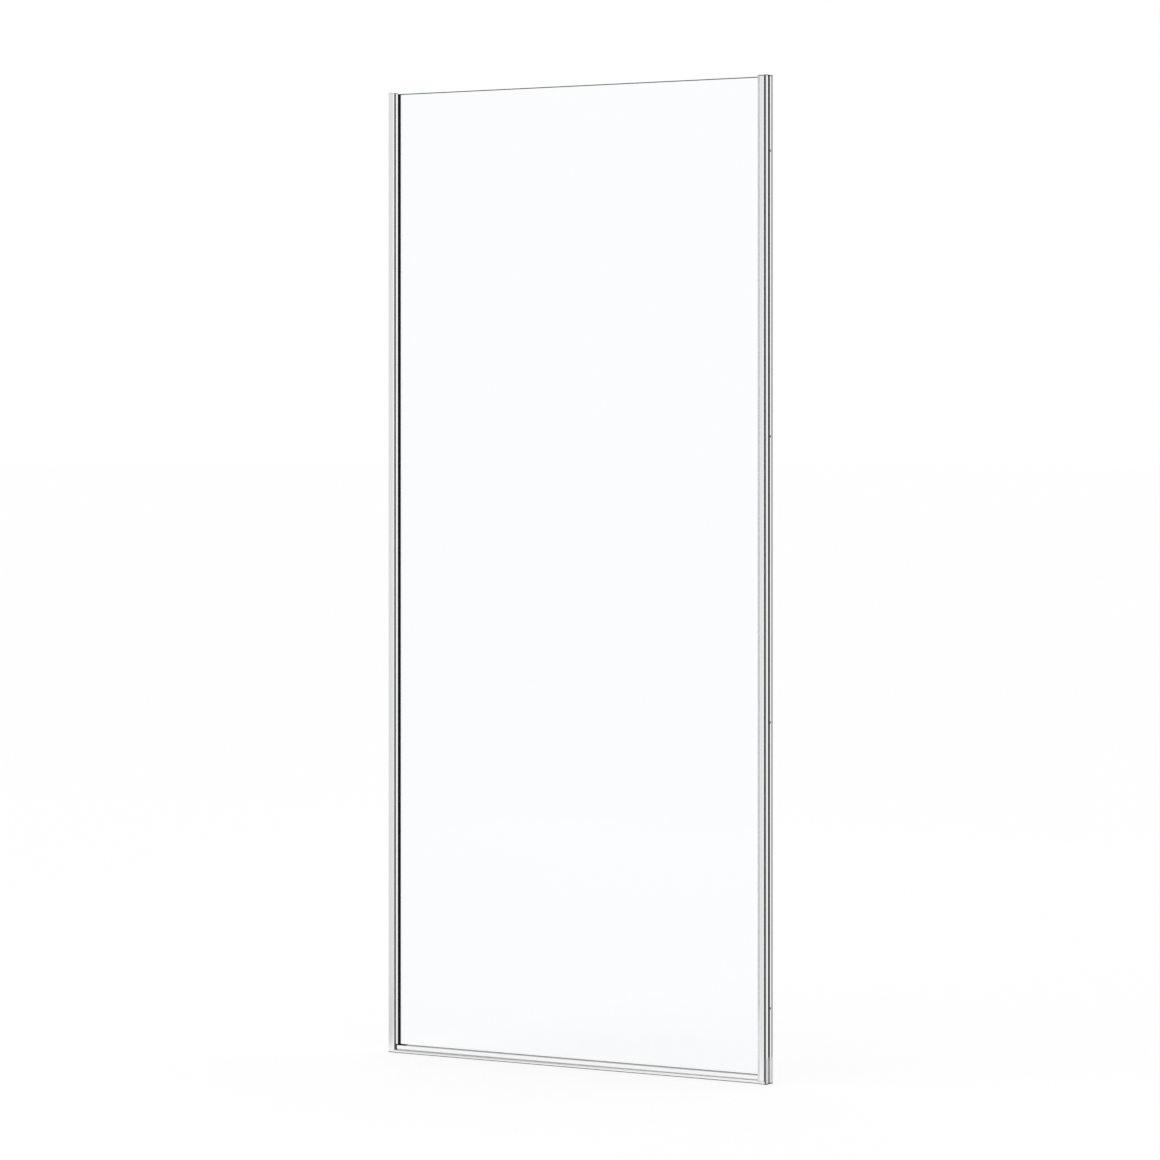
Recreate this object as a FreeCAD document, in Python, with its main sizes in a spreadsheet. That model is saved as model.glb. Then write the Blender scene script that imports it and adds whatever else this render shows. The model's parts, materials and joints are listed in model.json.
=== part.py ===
import FreeCAD, Part
import Sketcher
import os
import re
from FreeCAD import Vector

# Niche shower door: a pivoting glass leaf between two wall profiles, over a floor sill.
# Millimetres. X runs from the closing side to the hinge side, Y from the room to the shower, Z up.
# The origin is on the floor, midway between the two niche walls and midway through the depth.

# Driving sizes
SIZES = [
    ("door_width", 900, "niche width, wall face to wall face"),
    ("door_height", 2000, "floor to the top of both wall profiles"),
    ("frame_depth", 27, "depth of the hinge wall profile"),
    ("base_thickness", 4.6, "hinge wall profile, from the wall to its inner face"),
    ("edge_radius", 0.8, "rounding of the visible profile edges"),
    ("lip_radius", 0.35, "rounding of the thin front lip beside the gap seal"),
    ("front_rebate_width", 3.8, "rebate in the front of the hinge profile"),
    ("front_rebate_depth", 2.9, "rebate in the front of the hinge profile"),
    ("gap_seal_setback", 0.8, "gap seal behind the front of the hinge profile"),
    ("seal_groove_setback", 6.5, "front of the hinge profile to its seal groove"),
    ("seal_groove_width", 8, "groove for the wall seal"),
    ("seal_groove_depth", 3.2, "groove for the wall seal"),
    ("seal_recess", 0.2, "wall seal below the wall face"),
    ("land_width", 4.9, "flat land behind the seal groove that takes the wall screws"),
    ("bevel_depth", 0.3, "relief of the rear edge towards the wall"),
    ("key_channel_width", 4.4, "hollow that takes the bearing keys"),
    ("key_channel_thickness", 1.6, "hollow that takes the bearing keys"),
    ("key_channel_wall", 1.3, "metal between the hollow and the inner face"),
    ("key_channel_rear", 1.6, "metal between the hollow and the rear face"),
    ("key_length", 42, "bearing key inside the wall profile"),
    ("key_clearance", 0.1, "bearing key to its hollow, each side"),
    ("set_screw_diameter", 3, "screws that hold the bearing keys"),
    ("set_screw_clearance", 0.05, "radial, set screw to its hole"),
    ("set_screw_inset", 20, "set screw from the end of the wall profile"),
    ("wall_hole_diameter", 4.4, "clearance holes for wall screws"),
    ("wall_hole_sink", 7.4, "countersink of those holes"),
    ("wall_hole_margin", 150, "first and last wall screw from floor and top"),
    ("block_height", 53, "moulded foot below the hinge wall profile"),
    ("block_groove_depth", 3, "seal groove carried down the foot"),
    ("arm_thickness", 2, "upper bearing arm"),
    ("arm_radius", 2, "corner rounding of the bearing arms"),
    ("running_gap", 1.6, "stile to the hinge wall profile"),
    ("swing_gap", 0.6, "leaf to the bearing arms, up and down"),
    ("stile_width", 16.8, "hinge stile seen from the front"),
    ("stile_setback", 0.5, "stile face behind the frame's front"),
    ("stile_wall", 1.6, "wall of the stile extrusion"),
    ("stile_nose_radius", 2.2, "stile corner beside the wall profile"),
    ("shoulder_width", 8, "sloping side of the stile, seen from the front"),
    ("shoulder_depth", 5, "sloping side of the stile, front to back"),
    ("pocket_depth", 14.5, "glass pocket of the stile"),
    ("pivot_inset_side", 5.2, "pivot axis from the stile's wall side"),
    ("pivot_inset_front", 5, "pivot axis from the stile's front"),
    ("pin_diameter", 4, "pivot pins"),
    ("pin_chamfer", 0.5, "ends of the pivot pins"),
    ("pin_bite", 32, "pivot pin inside its plug"),
    ("pin_end_gap", 0.6, "pivot pin end to the outside of its arm"),
    ("pin_clearance", 0.05, "radial, pivot pin in its bush"),
    ("bush_wall", 0.8, "pivot bushes"),
    ("bush_reach", 4, "upper bush below its arm, inside the stile"),
    ("thrust_diameter", 9.6, "thrust collar of the lower bush"),
    ("thrust_gap", 0.3, "thrust collar to the plug above it"),
    ("plug_length", 38, "pivot plugs in the stile"),
    ("plug_clearance", 0.1, "pivot plug to the stile's chamber"),
    ("glass_thickness", 6, "tempered glass"),
    ("glass_setback", 12.5, "glass face behind the frame's front"),
    ("glass_arris", 0.6, "ground edge of the glass"),
    ("gasket_thickness", 2, "gaskets beside the glass"),
    ("gasket_depth", 12, "glazing gasket inside the stile"),
    ("gasket_lip", 1.5, "glazing gasket outside the stile"),
    ("gasket_lip_height", 1.2, "lip over the end of the stile"),
    ("edge_block_thickness", 1, "setting blocks at the glass edge"),
    ("edge_block_length", 60, "setting blocks at the glass edge"),
    ("edge_block_inset", 180, "end blocks from the ends of the glass"),
    ("sill_height", 6, "floor sill, and the lower bearing arm"),
    ("sill_foot", 18, "floor sill depth on the floor"),
    ("sill_crest", 13, "floor sill depth at its top"),
    ("sill_side", 3.8, "height of the sill's upright sides"),
    ("sill_end_gap", 0.3, "sill to the lower bearing arm"),
    ("tape_setback", 0.6, "bedding tape behind the sides of the sill"),
    ("tape_thickness", 1.6, "bedding tape under the sill"),
    ("rail_lift", 1.8, "bottom rail above the sill"),
    ("rail_height", 7.9, "bottom rail"),
    ("rail_wall", 1.5, "walls of the bottom rail"),
    ("rail_floor", 3, "solid floor of the bottom rail"),
    ("rail_gap", 0.6, "rail gaskets to the glazing gaskets above them"),
    ("rail_cap_thickness", 1, "end cap of the bottom rail at the stile"),
    ("soft_cap_length", 3.8, "soft end cap of the bottom rail at the strike"),
    ("rail_lip", 1.6, "rail gaskets above the rail"),
    ("corner_seal_length", 22, "corner seals where the closing seal stands on the rail"),
    ("fin_thickness", 1, "drip fin"),
    ("fin_gap", 0.3, "drip fin above the sill"),
    ("fin_head_width", 3, "bead that holds the fin in the rail"),
    ("fin_head_height", 1.2, "bead that holds the fin in the rail"),
    ("fin_neck", 0.8, "rail metal under the bead"),
    ("closing_tube_width", 5.6, "magnet chamber of the closing seal"),
    ("closing_tube_wall", 0.8, "walls of that chamber"),
    ("closing_leg_length", 5.3, "front leg of the closing seal over the glass"),
    ("closing_rear_leg", 2.8, "rear leg of the closing seal over the glass"),
    ("closing_leg_tip", 1.1, "thickness of the legs at their ends"),
    ("closing_overhang", 0.2, "magnet chamber wider than the legs, each side"),
    ("closing_lift", 0.6, "closing seal above the bottom rail's gaskets"),
    ("glass_end_gap", 0.3, "glass edge to the magnet chamber"),
    ("magnet_gap", 0.6, "air between the two magnet strips"),
    ("magnet_clearance", 0.1, "magnet strip to its chamber"),
    ("strike_width", 13.4, "strike profile seen from the front"),
    ("strike_depth", 16, "strike profile"),
    ("strike_web", 2, "strike profile against the wall"),
    ("strike_wall", 1.8, "front and rear of the strike profile"),
    ("strike_bevel_width", 2.5, "bevel beside the door"),
    ("strike_bevel_depth", 0.9, "bevel beside the door"),
    ("holder_reach", 2.3, "magnet holder out of the strike profile"),
    ("holder_depth", 8.8, "magnet holder inside the strike profile"),
    ("holder_wall", 0.8, "walls of the magnet holder"),
    ("strip_magnet_thickness", 4.2, "magnet strip in the strike"),
    ("cap_plate", 1.2, "plate of the strike's top cap"),
    ("cap_plug_length", 10, "plug of the strike's top cap"),
    ("cap_plug_clearance", 0.2, "plug to the strike profile"),
]

# Places worked out from the driving sizes
PLACES = [
    ("wall_face", "door_width / 2"),
    ("front_face", "-frame_depth / 2"),
    ("base_face", "wall_face - base_thickness"),
    ("groove_start", "seal_groove_setback"),
    ("groove_end", "groove_start + seal_groove_width"),
    ("land_end", "groove_end + land_width"),
    ("wall_hole_line", "groove_end + land_width / 2"),
    ("wall_hole_pitch", "(door_height - 2 * wall_hole_margin) / 3"),
    ("key_rear", "frame_depth - key_channel_rear"),
    ("key_front", "key_rear - key_channel_width"),
    ("key_outer", "key_channel_wall + key_channel_thickness"),
    ("stile_right", "base_face - running_gap"),
    ("stile_left", "stile_right - stile_width"),
    ("stile_front", "front_face + stile_setback"),
    ("glass_front", "front_face + glass_setback"),
    ("glass_back", "glass_front + glass_thickness"),
    ("glass_middle", "glass_front + glass_thickness / 2"),
    ("pocket_front", "glass_front - gasket_thickness - stile_front"),
    ("pocket_back", "glass_back + gasket_thickness - stile_front"),
    ("stile_depth", "pocket_back + stile_wall"),
    ("shoulder_slant", "sqrt(shoulder_width * shoulder_width + shoulder_depth * shoulder_depth)"),
    ("pivot_x", "stile_right - pivot_inset_side"),
    ("pivot_y", "stile_front + pivot_inset_front"),
    ("bush_outside", "pin_diameter + 2 * pin_clearance + 2 * bush_wall"),
    ("leaf_bottom", "sill_height + swing_gap"),
    ("arm_underside", "door_height - arm_thickness"),
    ("leaf_top", "arm_underside - swing_gap"),
    ("leaf_height", "leaf_top - leaf_bottom"),
    ("rail_bottom", "sill_height + rail_lift"),
    ("rail_top", "rail_bottom + rail_height"),
    ("rail_thickness", "glass_thickness + 2 * gasket_thickness + 2 * rail_wall"),
    ("rail_front", "glass_middle - rail_thickness / 2"),
    ("glass_bottom", "rail_bottom + rail_floor"),
    ("strike_left", "-wall_face"),
    ("strike_right", "strike_left + strike_width"),
    ("strike_front", "glass_middle - strike_depth / 2"),
    ("holder_width", "strike_depth - 2 * strike_wall"),
    ("holder_size", "holder_depth + holder_reach"),
    ("holder_left", "strike_right - holder_depth"),
    ("seal_tip", "strike_right + holder_reach + magnet_gap"),
    ("seal_root", "seal_tip + closing_tube_width"),
    ("closing_tube_depth", "glass_thickness + 2 * gasket_thickness + 2 * closing_overhang"),
    ("closing_bottom", "rail_top + rail_lip + closing_lift"),
    ("closing_height", "leaf_top - closing_bottom"),
    ("glass_left", "seal_root + glass_end_gap"),
    ("glass_right", "stile_left + pocket_depth - edge_block_thickness"),
    ("glass_height", "leaf_top - glass_bottom"),
    ("rail_left", "seal_tip + soft_cap_length"),
    ("rail_right", "stile_left - rail_cap_thickness"),
    ("glazing_bottom", "rail_top + rail_lip + rail_gap"),
    ("plug_top", "leaf_top - bush_reach"),
    ("sill_left", "strike_right"),
    ("sill_right", "stile_left - sill_end_gap"),
]

doc = FreeCAD.newDocument("niche_shower_door")
sheet = doc.addObject("Spreadsheet::Sheet", "Sizes")
for row, (alias, number, note) in enumerate(SIZES, start=1):
    sheet.set("A%d" % row, note)
    sheet.set("B%d" % row, str(number))
    sheet.setAlias("B%d" % row, alias)
for row, (alias, working) in enumerate(PLACES, start=len(SIZES) + 1):
    sheet.set("A%d" % row, alias)
    sheet.set("B%d" % row, "=" + working)
    sheet.setAlias("B%d" % row, alias)
doc.recompute()

nodes = []


def formula(working):
    """The working with each size read from the sheet."""
    return re.sub(r"[a-z_]+", lambda name: "Sizes." + name.group(0), str(working))


def amount(working):
    return float(sheet.evalExpression(formula(working)))


def bind(item, settings):
    for name, working in settings.items():
        item.setExpression(name, formula(working))


def place(item, x, y, z):
    bind(item, {"Placement.Base.x": x, "Placement.Base.y": y, "Placement.Base.z": z})


def keep(item, label):
    item.Label = label
    nodes.append(item)
    return item


def new_body(label, x, y, z):
    body = doc.addObject("PartDesign::Body", label)
    place(body, x, y, z)
    return keep(body, label)


def new_sketch(body, plane, offset=0):
    """Sketch on an origin plane of the body, moved along the plane's normal by offset."""
    sketch = body.newObject("Sketcher::SketchObject", "section")
    support = [item for item in body.Origin.OriginFeatures if item.Role == plane][0]
    sketch.AttachmentSupport = [(support, "")]
    sketch.MapMode = "FlatFace"
    bind(sketch, {"AttachmentOffset.Base.z": offset})
    return sketch


def hold(sketch, kind, working, *points):
    """Dimension of the sketch that follows the sheet."""
    index = sketch.addConstraint(Sketcher.Constraint(kind, *points, amount(working)))
    sketch.setExpression("Constraints[%d]" % index, formula(working))


def draw_outline(sketch, corners):
    """Closed outline through the corners, each held from the sketch origin."""
    first = sketch.GeometryCount
    count = len(corners)
    spots = [Vector(amount(u), amount(v), 0) for u, v in corners]
    for i in range(count):
        sketch.addGeometry(Part.LineSegment(spots[i], spots[(i + 1) % count]), False)
    for i in range(count):
        after = first + (i + 1) % count
        sketch.addConstraint(Sketcher.Constraint("Coincident", first + i, 2, after, 1))
    for i, (u, v) in enumerate(corners):
        hold(sketch, "DistanceX", u, -1, 1, first + i, 1)
        hold(sketch, "DistanceY", v, -1, 1, first + i, 1)


def draw_circle(sketch, u, v, diameter):
    first = sketch.GeometryCount
    centre = Vector(amount(u), amount(v), 0)
    sketch.addGeometry(Part.Circle(centre, Vector(0, 0, 1), amount(diameter) / 2), False)
    hold(sketch, "DistanceX", u, -1, 1, first, 3)
    hold(sketch, "DistanceY", v, -1, 1, first, 3)
    hold(sketch, "Diameter", diameter, first)


def rectangle(left, front, right, back):
    return [(left, front), (right, front), (right, back), (left, back)]


def pad(body, sketch, length):
    feature = body.newObject("PartDesign::Pad", "pad")
    feature.Profile = sketch
    bind(feature, {"Length": length})
    doc.recompute()
    return feature


def pocket(body, sketch, depth, reverse=False):
    before = body.Shape.Volume
    feature = body.newObject("PartDesign::Pocket", "cut")
    feature.Profile = sketch
    feature.Reversed = reverse
    bind(feature, {"Length": depth})
    doc.recompute()
    if not feature.Shape.Volume < before:
        raise ValueError("a cut missed the metal of " + body.Label)
    return feature


def round_corners(body, corners, radius, run="Z"):
    """Rounds the long edges of an extrusion that stand at these corners of its section."""
    axes = {"Z": (0, 1), "X": (1, 2)}[run]
    base = body.Tip
    spots = [(amount(u), amount(v)) for u, v in corners]
    names = []
    for number, edge in enumerate(base.Shape.Edges, start=1):
        start, end = edge.Vertexes[0].Point, edge.Vertexes[-1].Point
        if any(abs(start[axis] - end[axis]) > 1e-6 for axis in axes):
            continue
        for u, v in spots:
            if abs(start[axes[0]] - u) < 1e-4 and abs(start[axes[1]] - v) < 1e-4:
                names.append("Edge%d" % number)
    feature = body.newObject("PartDesign::Fillet", "rounding")
    feature.Base = (base, names)
    bind(feature, {"Radius": radius})
    doc.recompute()


def extrusion(label, spot, length, outline, hollows=(), run="Z"):
    """Straight length of one section, standing up or lying along X."""
    body = new_body(label, *spot)
    sketch = new_sketch(body, {"Z": "XY_Plane", "X": "YZ_Plane"}[run])
    draw_outline(sketch, outline)
    for hollow in hollows:
        draw_outline(sketch, hollow)
    pad(body, sketch, length)
    return body


def turned(label, spot, outline):
    """Piece of revolution about its own upright axis."""
    body = new_body(label, *spot)
    sketch = new_sketch(body, "XZ_Plane")
    draw_outline(sketch, outline)
    feature = body.newObject("PartDesign::Revolution", "turning")
    feature.Profile = sketch
    feature.ReferenceAxis = (sketch, ["V_Axis"])
    feature.Angle = 360
    doc.recompute()
    return body


def group(label, members):
    compound = doc.addObject("Part::Compound", label)
    compound.Links = members
    return keep(compound, label)


# Hinge side, fixed to the wall

def wall_section(groove_depth):
    """Outline of the hinge wall profile: front lip, seal groove, screw land, relieved rear, front rebate."""
    floor = "base_thickness - %s" % groove_depth
    return [
        ("front_rebate_width", 0),
        ("base_thickness", 0),
        ("base_thickness", "groove_start"),
        (floor, "groove_start"),
        (floor, "groove_end"),
        ("base_thickness", "groove_end"),
        ("base_thickness", "land_end"),
        ("base_thickness - bevel_depth", "frame_depth"),
        (0, "frame_depth"),
        (0, "front_rebate_depth"),
        ("front_rebate_width", "front_rebate_depth"),
    ]


def key_section(clearance, left="key_channel_wall"):
    return rectangle(
        "%s + %s" % (left, clearance), "key_front + %s" % clearance,
        "key_outer - %s" % clearance, "key_rear - %s" % clearance)


def hinge_wall_profile():
    body = extrusion(
        "hinge_wall_profile", ("base_face", "front_face", "block_height"), "door_height - block_height",
        wall_section("seal_groove_depth"), [key_section("0")])
    round_corners(body, [("front_rebate_width", 0), ("base_thickness", 0)], "lip_radius")
    round_corners(body, [(0, "frame_depth")], "edge_radius")
    notch = new_sketch(body, "XY_Plane", "door_height - block_height")
    draw_outline(notch, rectangle(0, "key_front", "key_channel_wall", "key_rear"))
    pocket(body, notch, "arm_thickness")
    set_holes = new_sketch(body, "YZ_Plane")
    for height in ("set_screw_inset", "door_height - block_height - set_screw_inset"):
        draw_circle(set_holes, "(key_front + key_rear) / 2", height, "set_screw_diameter")
    pocket(body, set_holes, "key_channel_wall", reverse=True)
    wall_holes = new_sketch(body, "YZ_Plane")
    for step in range(4):
        height = "wall_hole_margin + %d * wall_hole_pitch - block_height" % step
        draw_circle(wall_holes, "wall_hole_line", height, "wall_hole_diameter")
    doc.recompute()
    hole = body.newObject("PartDesign::Hole", "wall_holes")
    hole.Profile = wall_holes
    hole.Reversed = True
    hole.DepthType = "ThroughAll"
    hole.HoleCutType = "Countersink"
    hole.HoleCutCountersinkAngle = 90
    bind(hole, {"Diameter": "wall_hole_diameter", "HoleCutDiameter": "wall_hole_sink"})
    doc.recompute()


def wall_seal_strip():
    width = "seal_groove_depth - seal_recess"
    body = extrusion(
        "wall_seal_strip",
        ("wall_face - seal_groove_depth", "front_face + groove_start", "block_height"),
        "door_height - block_height", rectangle(0, 0, width, "seal_groove_width"))
    round_corners(body, [(width, 0), (width, "seal_groove_width")], "edge_radius")


def hinge_gap_seal():
    body = extrusion(
        "hinge_gap_seal", ("base_face", "front_face", 0), "door_height",
        rectangle(0, "gap_seal_setback", "front_rebate_width", "front_rebate_depth"))
    round_corners(body, [(0, "gap_seal_setback")], "lip_radius")


def bearing_arm(body, level, thickness):
    """Plate over or under the stile, with the stile's sloping side, bored for the pivot bush."""
    left = "stile_left - base_face"
    slope_end = (left + " + shoulder_width", 0)
    slope_start = (left, "shoulder_depth")
    rear_corner = (left, "key_rear - key_clearance")
    sketch = new_sketch(body, "XY_Plane", level)
    draw_outline(sketch, [slope_end, (0, 0), (0, "key_rear - key_clearance"), rear_corner, slope_start])
    draw_circle(sketch, "pivot_x - base_face", "pivot_y - front_face", "bush_outside")
    pad(body, sketch, thickness)
    round_corners(body, [slope_end, slope_start, rear_corner], "arm_radius")


def drill_key(body, height):
    """Hole in the bearing key for its set screw."""
    sketch = new_sketch(body, "YZ_Plane", "key_channel_wall")
    draw_circle(sketch, "(key_front + key_rear) / 2", height, "set_screw_diameter")
    pocket(body, sketch, "key_channel_thickness", reverse=True)


def lower_bearing_block():
    body = extrusion(
        "lower_bearing_block", ("base_face", "front_face", 0), "block_height",
        wall_section("block_groove_depth"))
    round_corners(body, [("front_rebate_width", 0), ("base_thickness", 0)], "lip_radius")
    round_corners(body, [(0, "frame_depth")], "edge_radius")
    bearing_arm(body, 0, "sill_height")
    key = new_sketch(body, "XY_Plane")
    draw_outline(key, key_section("key_clearance"))
    pad(body, key, "block_height + key_length")
    drill_key(body, "block_height + set_screw_inset")


def upper_bearing_cap():
    body = extrusion(
        "upper_bearing_cap", ("base_face", "front_face", "arm_underside - key_length"),
        "key_length + arm_thickness", key_section("key_clearance"))
    neck = new_sketch(body, "XY_Plane", "key_length")
    draw_outline(neck, rectangle(
        0, "key_front + key_clearance", "key_outer - key_clearance", "key_rear - key_clearance"))
    pad(body, neck, "arm_thickness")
    bearing_arm(body, "key_length", "arm_thickness")
    drill_key(body, "key_length + arm_thickness - set_screw_inset")


def pivot_bushes():
    bore = "pin_diameter / 2 + pin_clearance"
    outside = "bush_outside / 2"
    turned(
        "upper_pivot_bush", ("pivot_x", "pivot_y", "arm_underside - bush_reach"),
        rectangle(bore, 0, outside, "arm_thickness + bush_reach"))
    collar = "sill_height + swing_gap - thrust_gap"
    turned(
        "lower_pivot_bush", ("pivot_x", "pivot_y", 0),
        [(bore, 0), (outside, 0), (outside, "sill_height"), ("thrust_diameter / 2", "sill_height"),
         ("thrust_diameter / 2", collar), (bore, collar)])


def bearing_set_screws():
    screws = []
    for height in ("block_height + set_screw_inset", "door_height - set_screw_inset"):
        screw = doc.addObject("Part::Cylinder", "set_screw")
        bind(screw, {
            "Radius": "set_screw_diameter / 2 - set_screw_clearance",
            "Height": "key_outer - key_clearance"})
        screw.Placement.Rotation = FreeCAD.Rotation(Vector(0, 1, 0), 90)
        place(screw, "base_face", "front_face + (key_front + key_rear) / 2", height)
        screws.append(screw)
    group("bearing_set_screws", screws)


# Closing side, fixed to the wall

def strike_wall_profile():
    height = "door_height - cap_plate"
    body = extrusion("strike_wall_profile", ("strike_left", "strike_front", 0), height, [
        (0, 0),
        ("strike_width - strike_bevel_width", 0),
        ("strike_width", "strike_bevel_depth"),
        ("strike_width", "strike_wall"),
        ("strike_web", "strike_wall"),
        ("strike_web", "strike_depth - strike_wall"),
        ("strike_width", "strike_depth - strike_wall"),
        ("strike_width", "strike_depth - strike_bevel_depth"),
        ("strike_width - strike_bevel_width", "strike_depth"),
        (0, "strike_depth"),
    ])
    round_corners(body, [(0, 0), (0, "strike_depth")], "edge_radius")
    holes = new_sketch(body, "YZ_Plane")
    for step in range(4):
        draw_circle(
            holes, "strike_depth / 2", "wall_hole_margin + %d * wall_hole_pitch" % step,
            "wall_hole_diameter")
    pocket(body, holes, "strike_web", reverse=True)


def strike_top_cap():
    body = extrusion(
        "strike_top_cap", ("strike_left", "strike_front", "door_height - cap_plate"), "cap_plate", [
            (0, 0),
            ("strike_width - strike_bevel_width", 0),
            ("strike_width", "strike_bevel_depth"),
            ("strike_width", "strike_depth - strike_bevel_depth"),
            ("strike_width - strike_bevel_width", "strike_depth"),
            (0, "strike_depth"),
        ])
    round_corners(body, [(0, 0), (0, "strike_depth")], "edge_radius")
    plug = new_sketch(body, "XY_Plane", "-cap_plug_length")
    draw_outline(plug, rectangle(
        "strike_web + cap_plug_clearance", "strike_wall + cap_plug_clearance",
        "strike_width - holder_depth - cap_plug_clearance",
        "strike_depth - strike_wall - cap_plug_clearance"))
    pad(body, plug, "cap_plug_length + cap_plate / 2")


def strike_magnet_parts():
    bottom = "sill_height + swing_gap"
    height = "door_height - cap_plate - sill_height - 2 * swing_gap"
    inner = "holder_size - holder_wall - strip_magnet_thickness"
    chamber = rectangle(inner, "2 * holder_wall", "holder_size - holder_wall", "holder_width - 2 * holder_wall")
    back = rectangle(
        "holder_wall", "2 * holder_wall", "%s - holder_wall" % inner, "holder_width - 2 * holder_wall")
    body = extrusion(
        "strike_magnet_holder", ("holder_left", "strike_front + strike_wall", bottom), height,
        rectangle(0, 0, "holder_size", "holder_width"), [chamber, back])
    round_corners(body, [("holder_size", 0), ("holder_size", "holder_width")], "edge_radius")
    extrusion(
        "strike_magnet",
        ("holder_left + %s + magnet_clearance" % inner,
         "strike_front + strike_wall + 2 * holder_wall + magnet_clearance", bottom), height,
        rectangle(
            0, 0, "strip_magnet_thickness - 2 * magnet_clearance",
            "holder_width - 4 * holder_wall - 2 * magnet_clearance"))


# Floor sill

def threshold_sill():
    slope = "(sill_foot - sill_crest) / 2"
    length = "sill_right - sill_left"
    body = extrusion("threshold_sill", ("sill_left", "glass_middle - sill_foot / 2", 0), length, [
        (0, "tape_thickness"),
        ("sill_foot", "tape_thickness"),
        ("sill_foot", "sill_side"),
        ("sill_foot - %s" % slope, "sill_height"),
        (slope, "sill_height"),
        (0, "sill_side"),
    ], run="X")
    round_corners(
        body, [(0, "sill_side"), ("sill_foot", "sill_side"), (slope, "sill_height"),
               ("sill_foot - %s" % slope, "sill_height")], "edge_radius", run="X")
    extrusion(
        "sill_bed_tape", ("sill_left", "glass_middle - sill_foot / 2", 0), length,
        rectangle("tape_setback", 0, "sill_foot - tape_setback", "tape_thickness"), run="X")


# Swinging leaf

def door_glass():
    body = extrusion(
        "door_glass", ("glass_left", "glass_front", "glass_bottom"), "glass_height",
        rectangle(0, 0, "glass_right - glass_left", "glass_thickness"))
    base = body.Tip
    arris = body.newObject("PartDesign::Chamfer", "ground_edges")
    arris.Base = (base, ["Edge%d" % number for number in range(1, len(base.Shape.Edges) + 1)])
    bind(arris, {"Size": "glass_arris"})
    doc.recompute()


def chamber_section(inset):
    """Front chamber of the stile, drawn in by inset from the metal round it."""
    wall = "(stile_wall + %s)" % inset
    slope = "(shoulder_width * shoulder_depth + %s * shoulder_slant" % wall
    right = "stile_width - %s" % wall
    back = "pocket_front - %s" % wall
    return [
        ("%s - %s * shoulder_width) / shoulder_depth" % (slope, wall), wall),
        (right, wall),
        (right, back),
        (wall, back),
        (wall, "%s - %s * shoulder_depth) / shoulder_width" % (slope, wall)),
    ]


def hinge_stile():
    body = extrusion(
        "hinge_stile", ("stile_left", "stile_front", "leaf_bottom"), "leaf_height", [
            ("shoulder_width", 0),
            ("stile_width", 0),
            ("stile_width", "stile_depth"),
            (0, "stile_depth"),
            (0, "pocket_back"),
            ("pocket_depth", "pocket_back"),
            ("pocket_depth", "pocket_front"),
            (0, "pocket_front"),
            (0, "shoulder_depth"),
        ], [chamber_section("0")])
    round_corners(body, [("stile_width", 0)], "stile_nose_radius")
    round_corners(
        body,
        [("shoulder_width", 0), (0, "shoulder_depth"), ("stile_width", "stile_depth"), (0, "stile_depth")],
        "edge_radius")


def glazing_gaskets():
    lip = "-gasket_lip"
    tall = "leaf_top - glazing_bottom"
    front = ("stile_left", "stile_front + pocket_front", "glazing_bottom")
    extrusion("front_glazing_gasket", front, tall, [
        (lip, "gasket_thickness / 2"), (0, "-gasket_lip_height"), (0, 0), ("gasket_depth", 0),
        ("gasket_depth", "gasket_thickness"), (lip, "gasket_thickness")])
    rear = ("stile_left", "glass_back", "glazing_bottom")
    extrusion("rear_glazing_gasket", rear, tall, [
        (lip, 0), ("gasket_depth", 0), ("gasket_depth", "gasket_thickness"), (0, "gasket_thickness"),
        (0, "gasket_thickness + gasket_lip_height"), (lip, "gasket_thickness / 2")])


def glass_edge_blocks():
    low = "glass_bottom + edge_block_inset"
    high = "leaf_top - edge_block_inset - edge_block_length"
    blocks = []
    for height in (low, "(%s + %s) / 2" % (low, high), high):
        block = doc.addObject("Part::Box", "edge_block")
        bind(block, {
            "Length": "edge_block_thickness", "Width": "glass_thickness", "Height": "edge_block_length"})
        place(block, "glass_right", "glass_front", height)
        blocks.append(block)
    group("glass_edge_blocks", blocks)


def pivot_plugs_and_pins():
    levels = {"lower": "leaf_bottom", "upper": "plug_top - plug_length"}
    for name, level in levels.items():
        body = extrusion(
            name + "_pivot_plug", ("stile_left", "stile_front", level), "plug_length",
            chamber_section("plug_clearance"))
        bore = new_sketch(body, "XY_Plane", "plug_length")
        draw_circle(bore, "pivot_x - stile_left", "pivot_inset_front", "pin_diameter")
        pocket(body, bore, "plug_length")
    radius = "pin_diameter / 2"
    ends = {
        "lower": ("pin_end_gap", "leaf_bottom + pin_bite"),
        "upper": ("plug_top - pin_bite", "door_height - pin_end_gap")}
    for name, (low, high) in ends.items():
        length = "(%s - (%s))" % (high, low)
        turned(name + "_pivot_pin", ("pivot_x", "pivot_y", low), [
            (0, 0), (radius + " - pin_chamfer", 0), (radius, "pin_chamfer"),
            (radius, length + " - pin_chamfer"), (radius + " - pin_chamfer", length), (0, length)])


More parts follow.
